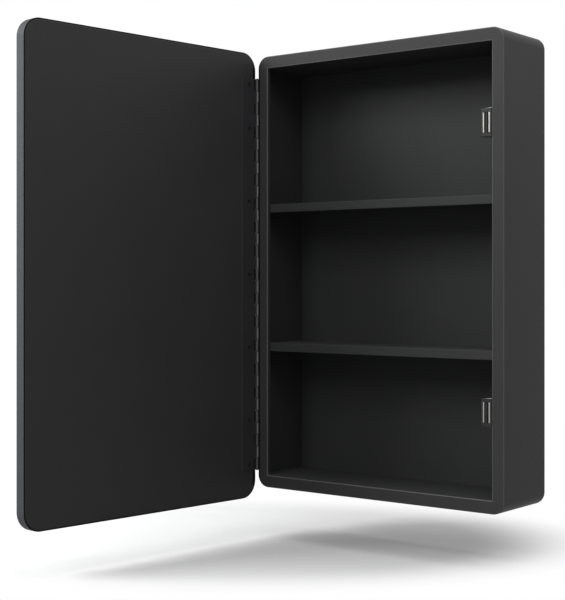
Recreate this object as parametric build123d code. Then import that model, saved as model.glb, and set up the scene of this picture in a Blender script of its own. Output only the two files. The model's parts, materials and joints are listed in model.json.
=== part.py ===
from build123d import *
import os

# Wall-hung mirrored medicine cabinet with three bays, its door standing open on a continuous hinge.
# Millimetres. +X to the right as one faces the cabinet, -Y out of the wall, +Z up.
# The origin is the centre of the wall cleat's screw line, on the wall plane.

# Cabinet body
cab_width = 446.0
cab_height = 690.0
cab_depth = 124.0
cab_corner_r = 19.0
sheet = 1.2
nest_gap = 0.15
face_width = 19.4
face_return = 7.0
face_bend_r = 2.0
opening_corner_r = 2.0
opening_bend_r = 1.1
rear_flange = 12.0
back_recess = 12.0
back_bend_r = 1.5
cleat_drop = 75.0

# Ceiling and floor pans, and the two fixed shelves
pan_side_lip = 12.0
pan_stiffener = 9.0
shelf_setback = 1.3
shelf_lip = 13.5
shelf_hem = 8.0
shelf_bend_r = 1.0
lower_shelf_top = 231.0
upper_shelf_drop = 236.5
upper_shelf_top = cab_height - upper_shelf_drop

# Door
door_over_top = 6.0
door_over_bottom = 17.7
door_corner_r = 28.0
door_thick = 18.5
frame_wall = 1.6
frame_lip = 4.0
frame_lip_t = 1.2
frame_front_r = 1.2
frame_back_r = 0.5
rim_step = 0.8
pan_bend_r = 1.0
mirror_t = 4.0
board_t = 3.0
strip_t = 3.0
strip_width = 24.0
strip_inset = 3.0
core_gap = 1.0

# Continuous hinge
open_angle = 95.7
hinge_pitch = 19.05
hinge_margin = 30.0
hinge_shift = 4.0
leaf_t = 1.2
leaf_width = 32.0
pin_r = 1.6
pin_clear = 0.05
swing_clear = 0.35
pin_behind_face = 1.4
hinge_edge = -0.3
knuckle_gap = 0.15
notch_gap = 0.4
pin_head_r = 2.3
pin_head_t = 0.8

# Countersunk screws of the door leaf
screw_inset = 15.5
screw_end = 9.0
screw_second = 80.0
screw_bays = 4
screw_head_r = 3.2
screw_neck_r = 1.9
screw_r = 1.75
screw_clear = 0.1
screw_length = 8.0
slot_width = 0.9
slot_depth = 0.5

# Magnetic catches
catch_width = 17.5
catch_height = 42.0
catch_depth = 17.0
catch_edge_r = 0.8
catch_taper = 1.3
catch_from_top = 134.9
catch_from_bottom = 143.8
pole_t = 2.4
pole_spacing = 9.3
pole_shift = 0.5
pole_height = 28.8
pole_depth = 12.0
pole_proud = 0.5
catch_air = 0.3
magnet_depth = 9.0
bracket_depth = 26.0
bracket_margin = 6.0
bracket_foot = 10.0
catch_screw_r = 1.5
catch_screw_clear = 0.15
catch_screw_head_r = 2.8
catch_screw_head_t = 1.8
catch_screw_tail = 4.0
catch_screw_inset = 4.2
catch_screw_back = 3.6

# Hanging rail and wall cleat
rail_t = 1.5
rail_end_gap = 11.0
rail_length = cab_width - 2 * (rear_flange + rail_end_gap)
rail_plate = 26.0
cleat_half = 14.0
cleat_upstand = 14.0
hook_gap = 0.3
hook_drop_gap = 1.5
cleat_hole_r = 2.75
cleat_hole_spacing = 110.0
cleat_hole_count = 4

# Planes and heights that follow from them
left_x = -cab_width / 2
right_x = cab_width / 2
front_y = -cab_depth
top_z = cleat_drop
bottom_z = top_z - cab_height
mid_z = (top_z + bottom_z) / 2
lining_x = cab_width / 2 - sheet - nest_gap
back_y = -back_recess
lining_front_y = front_y + face_return + nest_gap
shelf_front_y = front_y + face_return + shelf_setback
ceiling_z = top_z - face_width
floor_z = bottom_z + face_width

barrel_r = pin_r + pin_clear + leaf_t
pin_x = left_x - swing_clear - barrel_r
pin_y = front_y + pin_behind_face
knuckle_fit = int((cab_height - 2 * hinge_margin) / hinge_pitch)
knuckle_count = knuckle_fit - 1 + knuckle_fit % 2
hinge_length = knuckle_count * hinge_pitch
hinge_z0 = mid_z - hinge_shift - hinge_length / 2
hinge_z1 = hinge_z0 + hinge_length

door_inner_y = pin_y - barrel_r - swing_clear
door_front_y = door_inner_y - door_thick
door_x0 = pin_x + hinge_edge
door_width = right_x - door_x0
door_mid_x = (right_x + door_x0) / 2
door_z0 = bottom_z - door_over_bottom
door_z1 = top_z + door_over_top
door_height = door_z1 - door_z0
door_mid_z = (door_z0 + door_z1) / 2
mirror_y0 = door_front_y + frame_lip_t
board_y0 = mirror_y0 + mirror_t
core_y0 = board_y0 + board_t
screw_x = door_x0 + screw_inset
catch_x1 = right_x - face_width
catch_x0 = catch_x1 - catch_width
pole_x = (catch_x0 + catch_x1) / 2 + pole_shift
pole_front_y = door_inner_y + catch_air
catch_front_y = pole_front_y + pole_proud
catch_screw_y = catch_front_y + catch_depth - catch_screw_back


def slab(width, height, corner_r, y_back, depth, x_mid=0.0, z_mid=mid_z):
    """Upright plate with rounded corners, from y_back towards the front by its depth."""
    face = Plane(origin=(x_mid, y_back, z_mid), x_dir=(1, 0, 0), z_dir=(0, -1, 0))
    return extrude(face * RectangleRounded(width, height, corner_r), amount=depth)


def block(x0, x1, y0, y1, z0, z1):
    """Plain box between two corners."""
    return Pos((x0 + x1) / 2, (y0 + y1) / 2, (z0 + z1) / 2) * Box(x1 - x0, y1 - y0, z1 - z0)


def rod_x(radius, x0, x1, y, z):
    """Cylinder along X."""
    return Pos((x0 + x1) / 2, y, z) * Rotation(0, 90, 0) * Cylinder(radius, x1 - x0)


def rod_y(radius, y0, y1, x, z):
    """Cylinder along Y."""
    return Pos(x, (y0 + y1) / 2, z) * Rotation(90, 0, 0) * Cylinder(radius, y1 - y0)


def rod_z(radius, z0, z1):
    """Cylinder along the hinge pin's axis."""
    return Pos(pin_x, pin_y, (z0 + z1) / 2) * Cylinder(radius, z1 - z0)


def cavity(y_back, depth):
    """Space inside the cabinet's skin that a lining sheet may fill."""
    inset = sheet + nest_gap
    return slab(cab_width - 2 * inset, cab_height - 2 * inset, cab_corner_r - inset, y_back, depth)


def cabinet_shell():
    """Wrapped skin with its front face, the turned-in opening edge and the rear wall flange."""
    skin = slab(cab_width, cab_height, cab_corner_r, 0, cab_depth)
    skin = fillet(skin.faces().sort_by(Axis.Y)[0].edges(), face_bend_r)
    skin -= slab(cab_width - 2 * sheet, cab_height - 2 * sheet, cab_corner_r - sheet,
                 -sheet, cab_depth - 2 * sheet)
    turned = face_width - sheet
    skin += slab(cab_width - 2 * turned, cab_height - 2 * turned, opening_corner_r + sheet,
                 front_y + face_return, face_return - sheet / 2)
    skin -= slab(cab_width - 2 * face_width, cab_height - 2 * face_width, opening_corner_r,
                 front_y + 2 * face_return, 3 * face_return)
    skin -= slab(cab_width - 2 * rear_flange, cab_height - 2 * rear_flange,
                 max(cab_corner_r - rear_flange, opening_corner_r), sheet, 3 * sheet)
    return fillet(skin.faces().sort_by(Axis.Y)[0].inner_wires()[0].edges(), opening_bend_r)


def back_panel():
    """Recessed back sheet, its edge turned back to the rear flange."""
    inset = sheet + nest_gap + sheet
    tray = cavity(-sheet, back_recess - sheet)
    tray = fillet(tray.faces().sort_by(Axis.Y)[0].edges(), back_bend_r)
    return tray - slab(cab_width - 2 * inset, cab_height - 2 * inset, cab_corner_r - inset,
                       0, back_recess - sheet)


def lining_pan(level, up):
    """Ceiling (up = 1) or floor (up = -1) sheet with side lips in the bay and hidden stiffening lips."""
    z_face, z_hid, z_lip, z_stiff = (level, level + up * sheet, level - up * pan_side_lip,
                                     level + up * pan_stiffener)
    y1 = back_y - nest_gap
    pan = block(-lining_x, lining_x, lining_front_y, y1, min(z_face, z_hid), max(z_face, z_hid))
    for x0, x1 in ((-lining_x, -lining_x + sheet), (lining_x - sheet, lining_x)):
        pan += block(x0, x1, lining_front_y, y1, min(z_lip, z_hid), max(z_lip, z_hid))
    half = cab_width / 2 - cab_corner_r
    for y0 in (lining_front_y, y1 - sheet):
        pan += block(-half, half, y0, y0 + sheet, min(z_face, z_stiff), max(z_face, z_stiff))
    return pan & cavity(0, cab_depth)


def shelf(top):
    """Folded shelf: top sheet, front lip with a hem, rear lip and end flanges."""
    z1 = bottom_z + top
    z0 = z1 - shelf_lip
    y0, y1 = shelf_front_y, back_y - nest_gap
    body = block(-lining_x, lining_x, y0, y1, z0, z1)
    body -= block(-lining_x + sheet, lining_x - sheet, y0 + sheet, y1 - sheet, z0 - sheet, z1 - sheet)
    body += block(-lining_x, lining_x, y0, y0 + shelf_hem, z0, z0 + sheet)
    front = body.edges().filter_by(Axis.X).group_by(Axis.Y)[0]
    return fillet(front, shelf_bend_r)


def knuckle_spans(first):
    """Heights of every second knuckle, starting with the given one."""
    starts = [hinge_z0 + i * hinge_pitch for i in range(first, knuckle_count, 2)]
    return [(z + knuckle_gap / 2, z + hinge_pitch - knuckle_gap / 2) for z in starts]


def hinge_leaf_cabinet():
    """Leaf welded on the outside of the left side, with the odd knuckles."""
    reach = barrel_r + notch_gap
    leaf = block(left_x - leaf_t, left_x, pin_y + reach, pin_y + leaf_width, hinge_z0, hinge_z1)
    for z0, z1 in knuckle_spans(0):
        leaf += block(left_x - leaf_t, left_x, pin_y, pin_y + reach, z0, z1)
        leaf += rod_z(barrel_r, z0, z1)
    return leaf - rod_z(pin_r + pin_clear, hinge_z0, hinge_z1)


def hinge_leaf_door():
    """Leaf screwed on the door's inner face, with the even knuckles, as it lies with the door shut."""
    reach = barrel_r + notch_gap
    y0, y1 = door_inner_y, door_inner_y + leaf_t
    leaf = block(pin_x + reach, door_x0 + leaf_width, y0, y1, hinge_z0, hinge_z1)
    for z0, z1 in knuckle_spans(1):
        leaf += block(pin_x, pin_x + reach, y0, y1, z0, z1)
        leaf += rod_z(barrel_r, z0, z1)
    leaf -= rod_z(pin_r + pin_clear, hinge_z0, hinge_z1)
    for z in screw_heights():
        leaf -= screw_head(z, screw_clear)
    return leaf


def hinge_pin():
    """Full-length pin with both ends headed over."""
    pin = rod_z(pin_r, hinge_z0, hinge_z1)
    pin += rod_z(pin_head_r, hinge_z0 - pin_head_t, hinge_z0)
    return pin + rod_z(pin_head_r, hinge_z1, hinge_z1 + pin_head_t)


def screw_heights():
    """Screws near both ends of the leaf, and an even row between."""
    low, high = hinge_z0 + screw_second, hinge_z1 - screw_second
    row = [low + (high - low) * i / screw_bays for i in range(screw_bays + 1)]
    return [hinge_z0 + screw_end] + row + [hinge_z1 - screw_end]


def screw_head(z, clear):
    """Countersunk head, flush with the leaf."""
    cone = Cone(screw_neck_r + clear, screw_head_r + clear, leaf_t)
    return Pos(screw_x, door_inner_y + leaf_t / 2, z) * Rotation(-90, 0, 0) * cone


def door_screws():
    """Slotted countersunk screws through the leaf and the door's inner skin."""
    screws = []
    for z in screw_heights():
        head_y = door_inner_y + leaf_t
        screw = screw_head(z, 0) + rod_y(screw_r, head_y - screw_length, head_y - slot_depth, screw_x, z)
        slot = block(screw_x - screw_head_r, screw_x + screw_head_r, head_y - slot_depth,
                     head_y + slot_depth, z - slot_width / 2, z + slot_width / 2)
        screws.append(screw - slot)
    return screws


def screw_holes(y0, y1):
    """Clearance holes for the row of door screws."""
    return [rod_y(screw_r + screw_clear, y0, y1, screw_x, z) for z in screw_heights()]


def door_slab(inset, y_back, depth):
    """Plate of the door's outline, drawn in all round by the inset."""
    return slab(door_width - 2 * inset, door_height - 2 * inset, door_corner_r - inset,
                y_back, depth, door_mid_x, door_mid_z)


def door_edge_frame():
    """Rolled edge frame with the narrow lip that holds the mirror from the front."""
    y_back = door_inner_y - rim_step
    ring = door_slab(0, y_back, y_back - door_front_y)
    ring = fillet(ring.faces().sort_by(Axis.Y)[0].edges(), frame_front_r)
    ring = fillet(ring.faces().sort_by(Axis.Y)[-1].edges(), frame_back_r)
    ring -= door_slab(frame_wall, door_inner_y, door_inner_y - mirror_y0)
    return ring - door_slab(frame_lip, door_inner_y, 2 * door_thick)


def door_pan():
    """Inner steel skin of the door, its edge folded towards the mirror."""
    inset = frame_wall + nest_gap
    pan = door_slab(inset, door_inner_y, door_inner_y - core_y0)
    pan = fillet(pan.faces().sort_by(Axis.Y)[-1].edges(), pan_bend_r)
    pan -= door_slab(inset + sheet, door_inner_y - sheet, door_thick)
    return pan - screw_holes(door_inner_y - 2 * sheet, door_inner_y + sheet)


def hinge_backing_strip():
    """Steel strip inside the door that the hinge screws bite into."""
    x0 = screw_x - strip_width / 2 + strip_inset
    y1 = door_inner_y - sheet
    strip = block(x0, x0 + strip_width, y1 - strip_t, y1, hinge_z0, hinge_z1)
    return strip - screw_holes(y1 - 2 * strip_t, y1 + sheet)


def door_core():
    """Honeycomb board that fills the door between the skin and the mirror's backing."""
    inset = frame_wall + nest_gap + sheet + nest_gap
    core = door_slab(inset, door_inner_y - sheet, door_inner_y - sheet - core_y0)
    x1 = screw_x + strip_width / 2 + strip_inset + core_gap
    return core - block(door_x0, x1, door_front_y, door_inner_y, door_z0, door_z1)


def mirror_glass():
    """Silvered glass behind the frame's lip."""
    return door_slab(frame_wall + nest_gap, board_y0, mirror_t)


def mirror_board():
    """Hardboard sheet behind the glass."""
    return door_slab(frame_wall + nest_gap, core_y0, board_t)


def catch_bracket(z_mid):
    """Hat-shaped bracket between the right side and the catch, level with the opening's edge."""
    y0 = lining_front_y
    y1 = y0 + bracket_depth
    half = catch_height / 2 + bracket_margin
    wall = right_x - sheet
    hat = block(catch_x1, wall, y0, y1, z_mid - half, z_mid + half)
    hat -= block(catch_x1 + sheet, wall + sheet, y0, y1, z_mid - half + sheet, z_mid + half - sheet)
    hat += block(wall - sheet, wall, y0, y1, z_mid + half, z_mid + half + bracket_foot)
    hat += block(wall - sheet, wall, y0, y1, z_mid - half - bracket_foot, z_mid - half)
    return hat - catch_screw_rods(z_mid, catch_screw_r + catch_screw_clear, catch_x0, wall - 2 * sheet)


def catch_screw_rods(z_mid, radius, x0, x1):
    """One rod along X at each end of a catch."""
    reach = catch_height / 2 - catch_screw_inset
    return [rod_x(radius, x0, x1, catch_screw_y, z_mid + side * reach) for side in (-1, 1)]


def catch_housing(z_mid):
    """Moulded catch body, lower at its free side, with a pocket for the magnet and its two pole plates."""
    y0, y1 = catch_front_y, catch_front_y + catch_depth
    half = catch_height / 2
    free_half = half - catch_taper
    outline = Polyline((catch_x0, z_mid - free_half), (catch_x1, z_mid - half), (catch_x1, z_mid + half),
                       (catch_x0, z_mid + free_half), close=True)
    body = extrude(Plane(origin=(0, y1, 0), x_dir=(1, 0, 0), z_dir=(0, -1, 0)) * make_face(outline),
                   amount=catch_depth)
    body = fillet(body.faces().sort_by(Axis.Y)[0].edges(), catch_edge_r)
    pocket = (pole_spacing + pole_t) / 2 + nest_gap
    tall = pole_height / 2 + nest_gap
    body -= block(pole_x - pocket, pole_x + pocket, y0 - sheet, pole_front_y + pole_depth + nest_gap,
                  z_mid - tall, z_mid + tall)
    return body - catch_screw_rods(z_mid, catch_screw_r + catch_screw_clear, catch_x0 - sheet, right_x)


def catch_poles(z_mid):
    """Two steel pole plates, one each side of the magnet."""
    plates = []
    for side in (-1, 1):
        x = pole_x + side * pole_spacing / 2
        plates.append(block(x - pole_t / 2, x + pole_t / 2, pole_front_y, pole_front_y + pole_depth,
                            z_mid - pole_height / 2, z_mid + pole_height / 2))
    return plates


def catch_magnet(z_mid):
    """Ferrite block between the pole plates."""
    half = (pole_spacing - pole_t) / 2
    y1 = pole_front_y + pole_depth
    return block(pole_x - half, pole_x + half, y1 - magnet_depth, y1,
                 z_mid - pole_height / 2, z_mid + pole_height / 2)


def catch_screws(z_mids):
    """Pan-head screws that hold both catches on their brackets."""
    screws = []
    for z_mid in z_mids:
        shanks = catch_screw_rods(z_mid, catch_screw_r, catch_x0, catch_x1 + catch_screw_tail)
        heads = catch_screw_rods(z_mid, catch_screw_head_r, catch_x0 - catch_screw_head_t, catch_x0)
        screws += [shank + head for shank, head in zip(shanks, heads)]
    return screws


def hanging_rail():
    """Z-shaped rail welded behind the back panel, hooked over the wall cleat."""
    half = rail_length / 2
    plate_y = back_y + sheet
    hook_y = plate_y + rail_t + hook_gap + rail_t + hook_gap
    bear_z = cleat_half + cleat_upstand
    rail = block(-half, half, plate_y, plate_y + rail_t, bear_z, bear_z + rail_plate)
    rail += block(-half, half, plate_y, hook_y + rail_t, bear_z, bear_z + rail_t)
    low_z = cleat_half + rail_t + hook_drop_gap
    return rail + block(-half, half, hook_y, hook_y + rail_t, low_z, bear_z)


def wall_cleat():
    """Z-shaped cleat screwed to the wall, its upstand carrying the cabinet's rail."""
    half = rail_length / 2
    stand_y = back_y + sheet + rail_t + hook_gap
    cleat = block(-half, half, -rail_t, 0, -cleat_half, cleat_half + rail_t)
    cleat += block(-half, half, stand_y, 0, cleat_half, cleat_half + rail_t)
    cleat += block(-half, half, stand_y, stand_y + rail_t, cleat_half, cleat_half + cleat_upstand)
    first = -cleat_hole_spacing * (cleat_hole_count - 1) / 2
    for i in range(cleat_hole_count):
        cleat -= rod_y(cleat_hole_r, -2 * rail_t, rail_t, first + i * cleat_hole_spacing, 0)
    return cleat


def swing(piece):
    """Turns a piece drawn with the door shut about the hinge pin, to the open door."""
    return Pos(pin_x, pin_y, 0) * Rotation(0, 0, -open_angle) * Pos(-pin_x, -pin_y, 0) * piece


def write(node, pieces, moving=False):
    """Writes one node's solids to its STEP file."""
    solids = pieces if isinstance(pieces, list) else [pieces]
    placed = [swing(piece) if moving else piece for piece in solids]
    bodies = [solid for piece in placed for solid in piece.solids()]
    shape = bodies[0] if len(bodies) == 1 else Compound(bodies)
    export_step(shape, f"parts/{node}.step")


os.makedirs("parts", exist_ok=True)
catch_z = {"upper": top_z - catch_from_top, "lower": bottom_z + catch_from_bottom}

write("cabinet_shell", cabinet_shell())
write("back_panel", back_panel())
write("ceiling_pan", lining_pan(ceiling_z, 1))
write("floor_pan", lining_pan(floor_z, -1))
write("shelf_upper", shelf(upper_shelf_top))
write("shelf_lower", shelf(lower_shelf_top))
write("hanging_rail", hanging_rail())
write("wall_cleat", wall_cleat())
for place, z in catch_z.items():
    write(f"catch_bracket_{place}", catch_bracket(z))
    write(f"catch_housing_{place}", catch_housing(z))
    write(f"catch_poles_{place}", catch_poles(z))
    write(f"catch_magnet_{place}", catch_magnet(z))
write("catch_screws", catch_screws(catch_z.values()))
write("hinge_leaf_cabinet", hinge_leaf_cabinet())
write("hinge_pin", hinge_pin())

write("hinge_leaf_door", hinge_leaf_door(), moving=True)
write("door_screws", door_screws(), moving=True)
write("door_edge_frame", door_edge_frame(), moving=True)
write("door_pan", door_pan(), moving=True)
write("hinge_backing_strip", hinge_backing_strip(), moving=True)
write("door_core", door_core(), moving=True)
write("mirror_board", mirror_board(), moving=True)
write("mirror_glass", mirror_glass(), moving=True)
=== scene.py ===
import json
import math
import bmesh
import bpy
from mathutils import Matrix, Vector


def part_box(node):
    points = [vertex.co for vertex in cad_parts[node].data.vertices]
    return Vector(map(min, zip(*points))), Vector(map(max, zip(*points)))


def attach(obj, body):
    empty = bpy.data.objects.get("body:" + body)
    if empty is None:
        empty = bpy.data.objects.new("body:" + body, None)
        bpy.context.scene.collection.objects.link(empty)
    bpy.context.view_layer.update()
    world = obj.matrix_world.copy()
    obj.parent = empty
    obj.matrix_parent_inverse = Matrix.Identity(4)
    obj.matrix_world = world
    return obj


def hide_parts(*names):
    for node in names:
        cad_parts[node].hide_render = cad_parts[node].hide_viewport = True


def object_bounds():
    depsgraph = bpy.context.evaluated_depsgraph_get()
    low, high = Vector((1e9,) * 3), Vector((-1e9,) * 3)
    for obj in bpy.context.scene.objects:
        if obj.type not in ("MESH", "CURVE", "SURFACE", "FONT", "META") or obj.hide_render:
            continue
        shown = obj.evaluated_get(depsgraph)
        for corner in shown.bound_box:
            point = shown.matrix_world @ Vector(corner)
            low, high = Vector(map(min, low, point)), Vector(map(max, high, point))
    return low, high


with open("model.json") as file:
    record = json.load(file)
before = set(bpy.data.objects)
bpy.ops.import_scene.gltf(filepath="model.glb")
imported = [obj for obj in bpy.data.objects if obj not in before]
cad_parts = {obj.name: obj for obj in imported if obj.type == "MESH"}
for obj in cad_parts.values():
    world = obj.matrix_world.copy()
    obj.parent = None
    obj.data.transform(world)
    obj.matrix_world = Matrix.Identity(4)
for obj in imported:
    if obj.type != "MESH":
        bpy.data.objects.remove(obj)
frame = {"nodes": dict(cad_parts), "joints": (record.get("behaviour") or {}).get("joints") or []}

cad_box = [list(corner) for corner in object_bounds()]


# Cabinet skin.
# One strip of 1.2 mm mild steel, folded to a channel with a front face, a turned-in edge and a wall
# flange, wrapped round the box and welded. Satin black powder coat over the whole, baked on.

mm = 0.001


def linear(hexcode):
    """Turns an sRGB hex colour into Blender's linear red, green, blue and alpha."""
    parts = [int(hexcode[i:i + 2], 16) / 255 for i in (1, 3, 5)]
    return [c / 12.92 if c <= 0.04045 else ((c + 0.055) / 1.055) ** 2.4 for c in parts] + [1.0]


def put(tree, kind, inputs=None, **settings):
    """Adds a node, sets its properties and fills or links its sockets, each given by name or number."""
    made = tree.nodes.new(kind)
    for name, value in settings.items():
        setattr(made, name, value)
    for key, value in (inputs or {}).items():
        if isinstance(value, bpy.types.NodeSocket):
            tree.links.new(value, made.inputs[key])
        else:
            made.inputs[key].default_value = value
    return made


def new_material(name):
    """An empty material with its node tree."""
    material = bpy.data.materials.new(name)
    material.use_nodes = True
    material.node_tree.nodes.clear()
    return material, material.node_tree


def powder_coat(name, colours, rough, wave_mm=2.2, grain_mm=0.35, cloud_mm=70, sheen=0.05):
    """Thermoset powder coat: a soft sheen over fine grain, with a long low ripple like orange peel, and
    a tone and polish that drift slowly. A colour mix takes its factor and colours at 0, 6 and 7."""
    material, tree = new_material(name)
    place = put(tree, "ShaderNodeTexCoord").outputs["Object"]
    ripple = put(tree, "ShaderNodeTexNoise", {"Vector": place, "Scale": 1000 / wave_mm, "Detail": 1.0})
    grain = put(tree, "ShaderNodeTexNoise", {"Vector": place, "Scale": 1000 / grain_mm, "Detail": 2.0})
    cloud = put(tree, "ShaderNodeTexNoise", {"Vector": place, "Scale": 1000 / cloud_mm, "Detail": 3.0})
    grain_share = 0.35
    height = put(tree, "ShaderNodeMath",
                 {0: grain.outputs["Fac"], 1: grain_share, 2: ripple.outputs["Fac"]},
                 operation="MULTIPLY_ADD")
    bump = put(tree, "ShaderNodeBump",
               {"Strength": 0.35, "Distance": 0.05 * mm, "Height": height.outputs[0]})
    polish = put(tree, "ShaderNodeMapRange",
                 {"Value": cloud.outputs["Fac"], "From Min": 0.3, "From Max": 0.7,
                  "To Min": rough - 0.03, "To Max": rough + 0.03})
    tint = put(tree, "ShaderNodeMix",
               {0: cloud.outputs["Fac"], 6: linear(colours[0]), 7: linear(colours[1])}, data_type="RGBA")
    shader = put(tree, "ShaderNodeBsdfPrincipled",
                 {"Base Color": tint.outputs[2], "Roughness": polish.outputs[0],
                  "Specular IOR Level": sheen, "Normal": bump.outputs[0]})
    put(tree, "ShaderNodeOutputMaterial", {"Surface": shader.outputs[0]})
    return material


def from_rim(tree, low, high, radius):
    """Distance from an upright rounded rectangle between two corners, at the depth of the first."""
    place = put(tree, "ShaderNodeTexCoord").outputs["Object"]
    middle = ((low.x + high.x) / 2, low.y, (low.z + high.z) / 2)
    offset = put(tree, "ShaderNodeVectorMath", {0: place, 1: middle}, operation="SUBTRACT")
    across = put(tree, "ShaderNodeVectorMath", {0: offset.outputs[0]}, operation="ABSOLUTE")
    straight = ((high.x - low.x) / 2 - radius, 0, (high.z - low.z) / 2 - radius)
    beyond = put(tree, "ShaderNodeVectorMath", {0: across.outputs[0], 1: straight}, operation="SUBTRACT")
    outside = put(tree, "ShaderNodeVectorMath", {0: beyond.outputs[0], 1: (0, 0, 0)}, operation="MAXIMUM")
    level = put(tree, "ShaderNodeVectorMath", {0: outside.outputs[0], 1: (1, 0, 1)}, operation="MULTIPLY")
    reach = put(tree, "ShaderNodeVectorMath", {0: level.outputs[0]}, operation="LENGTH")
    apart = put(tree, "ShaderNodeMath", {0: reach.outputs["Value"], 1: radius}, operation="SUBTRACT")
    depth = put(tree, "ShaderNodeSeparateXYZ", {0: offset.outputs[0]}).outputs["Y"]
    both = put(tree, "ShaderNodeCombineXYZ", {"X": apart.outputs[0], "Y": depth})
    return put(tree, "ShaderNodeVectorMath", {0: both.outputs[0]}, operation="LENGTH").outputs["Value"]


def toned(material, away, radius, soft, colour, amount, gaps=None):
    """Shifts a coat's colour where a distance is short: a painted highlight where the colour is lighter,
    painted shade where it is darker. It stays off the gaps, given by the first one's height and their
    pitch."""
    tree = material.node_tree
    shader = next(node for node in tree.nodes if node.type == "BSDF_PRINCIPLED")
    base = shader.inputs["Base Color"]
    coat = base.links[0].from_socket if base.links else list(base.default_value)
    near = put(tree, "ShaderNodeMapRange",
               {"Value": away, "From Min": radius + soft, "From Max": radius, "To Max": amount})
    if gaps:
        gap_margin, gap_margin_end = 0.4 * mm, 1.6 * mm
        place = put(tree, "ShaderNodeTexCoord").outputs["Object"]
        height = put(tree, "ShaderNodeSeparateXYZ", {0: place}).outputs["Z"]
        above = put(tree, "ShaderNodeMath", {0: height, 1: gaps[0]}, operation="SUBTRACT")
        from_gap = put(tree, "ShaderNodeMath", {0: above.outputs[0], 1: gaps[1] / 2},
                       operation="PINGPONG")
        clear = put(tree, "ShaderNodeMapRange",
                    {"Value": from_gap.outputs[0], "From Min": gap_margin, "From Max": gap_margin_end})
        near = put(tree, "ShaderNodeMath", {0: near.outputs[0], 1: clear.outputs[0]},
                   operation="MULTIPLY")
    mixed = put(tree, "ShaderNodeMix", {0: near.outputs[0], 6: coat, 7: linear(colour)},
                data_type="RGBA")
    tree.links.new(mixed.outputs[2], base)


def folded(path, bends, thickness, steps=6):
    """Outline of a folded sheet from its middle line and the radius of each bend: down one face, then
    back up the other."""
    corners = [Vector(point) for point in path]
    left, right = [], []

    def station(point, across):
        """Adds the point of each face that lies across from one on the middle line."""
        left.append(point + across * thickness / 2)
        right.append(point - across * thickness / 2)

    first = (corners[1] - corners[0]).normalized()
    station(corners[0], Vector((-first.y, first.x)))
    for before, corner, after, radius in zip(corners, corners[1:], corners[2:], bends):
        ahead, beyond = (corner - before).normalized(), (after - corner).normalized()
        turn = math.atan2(ahead.x * beyond.y - ahead.y * beyond.x, ahead.dot(beyond))
        side = math.copysign(1, turn)
        inwards = Vector((-ahead.y, ahead.x)) * side
        centre = corner - ahead * radius * math.tan(abs(turn) / 2) + inwards * radius
        for i in range(steps + 1):
            spoke = inwards.copy()
            spoke.rotate(Matrix.Rotation(turn * i / steps, 2))
            station(centre - spoke * radius, spoke * side)
    last = (corners[-1] - corners[-2]).normalized()
    station(corners[-1], Vector((-last.y, last.x)))
    return [tuple(point) for point in left + right[::-1]]


def applied(piece):
    """Keeps the result of a piece's modifiers as its plain mesh."""
    evaluated = piece.evaluated_get(bpy.context.evaluated_depsgraph_get())
    result = bpy.data.meshes.new_from_object(evaluated)
    result.name = piece.name
    piece.modifiers.clear()
    piece.data = result


least_broken_turn = math.radians(40)
least_sharp_turn = math.radians(42)


def finished(name, mesh, material, edge=0.2 * mm, place=None, cut=None):
    """Makes an object from a bmesh, less the object that cuts it, with its sharp edges broken and its
    flat faces kept flat in the shading."""
    bmesh.ops.remove_doubles(mesh, verts=mesh.verts, dist=0.001 * mm)
    bmesh.ops.recalc_face_normals(mesh, faces=mesh.faces)
    if place is not None:
        bmesh.ops.transform(mesh, matrix=place, verts=mesh.verts)
    raw = bpy.data.meshes.new(name)
    mesh.to_mesh(raw)
    mesh.free()
    raw.materials.append(material)
    raw.shade_smooth()
    piece = bpy.data.objects.new(name, raw)
    bpy.context.scene.collection.objects.link(piece)
    if cut:
        bore = piece.modifiers.new("bore", "BOOLEAN")
        bore.operation = "DIFFERENCE"
        bore.solver = "EXACT"
        bore.object = cut
        applied(piece)
        bpy.data.objects.remove(cut)
    if edge:
        bevel = piece.modifiers.new("broken_edge", "BEVEL")
        bevel.width = edge
        bevel.segments = 2
        bevel.limit_method = "ANGLE"
        bevel.angle_limit = least_broken_turn
        applied(piece)
    piece.data.set_sharp_from_angle(angle=least_sharp_turn)
    flats = piece.modifiers.new("flats", "WEIGHTED_NORMAL")
    flats.weight = 100
    flats.keep_sharp = True
    applied(piece)
    return piece


def rounded_ring(width, height, radius, steps=12):
    """Points round a rectangle with rounded corners, anticlockwise from the lower right."""
    ring = []
    for side_x, side_z, start in ((1, -1, -90), (1, 1, 0), (-1, 1, 90), (-1, -1, 180)):
        for i in range(steps + 1):
            turn = math.radians(start + 90 * i / steps)
            ring.append((side_x * (width / 2 - radius) + radius * math.cos(turn),
                         side_z * (height / 2 - radius) + radius * math.sin(turn)))
    return ring


def wrapped(low, high, section, corner_at, closed):
    """A sheet section taken round a rounded rectangle. The section has (inset, depth) points, and
    corner_at gives the corner radius at each. A closed section is a ring of folded strip, an open one
    is a tray with its middle."""
    mesh = bmesh.new()
    x_mid, z_mid = (low.x + high.x) / 2, (low.z + high.z) / 2
    rings = []
    for inset, depth in section:
        width, height = high.x - low.x - 2 * inset, high.z - low.z - 2 * inset
        outline = rounded_ring(width, height, corner_at(inset, depth))
        rings.append([mesh.verts.new((x_mid + x, depth, z_mid + z)) for x, z in outline])
    pairs = list(zip(rings, rings[1:] + rings[:1]))
    for near, far in pairs if closed else pairs[:-1]:
        for i in range(len(near)):
            j = (i + 1) % len(near)
            mesh.faces.new((near[i], near[j], far[j], far[i]))
    if not closed:
        mesh.faces.new(rings[0])
        mesh.faces.new(rings[-1][::-1])
    return mesh


def stands_for(piece, node, body):
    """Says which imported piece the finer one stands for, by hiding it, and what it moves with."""
    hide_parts(node)
    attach(piece, body)


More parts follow.
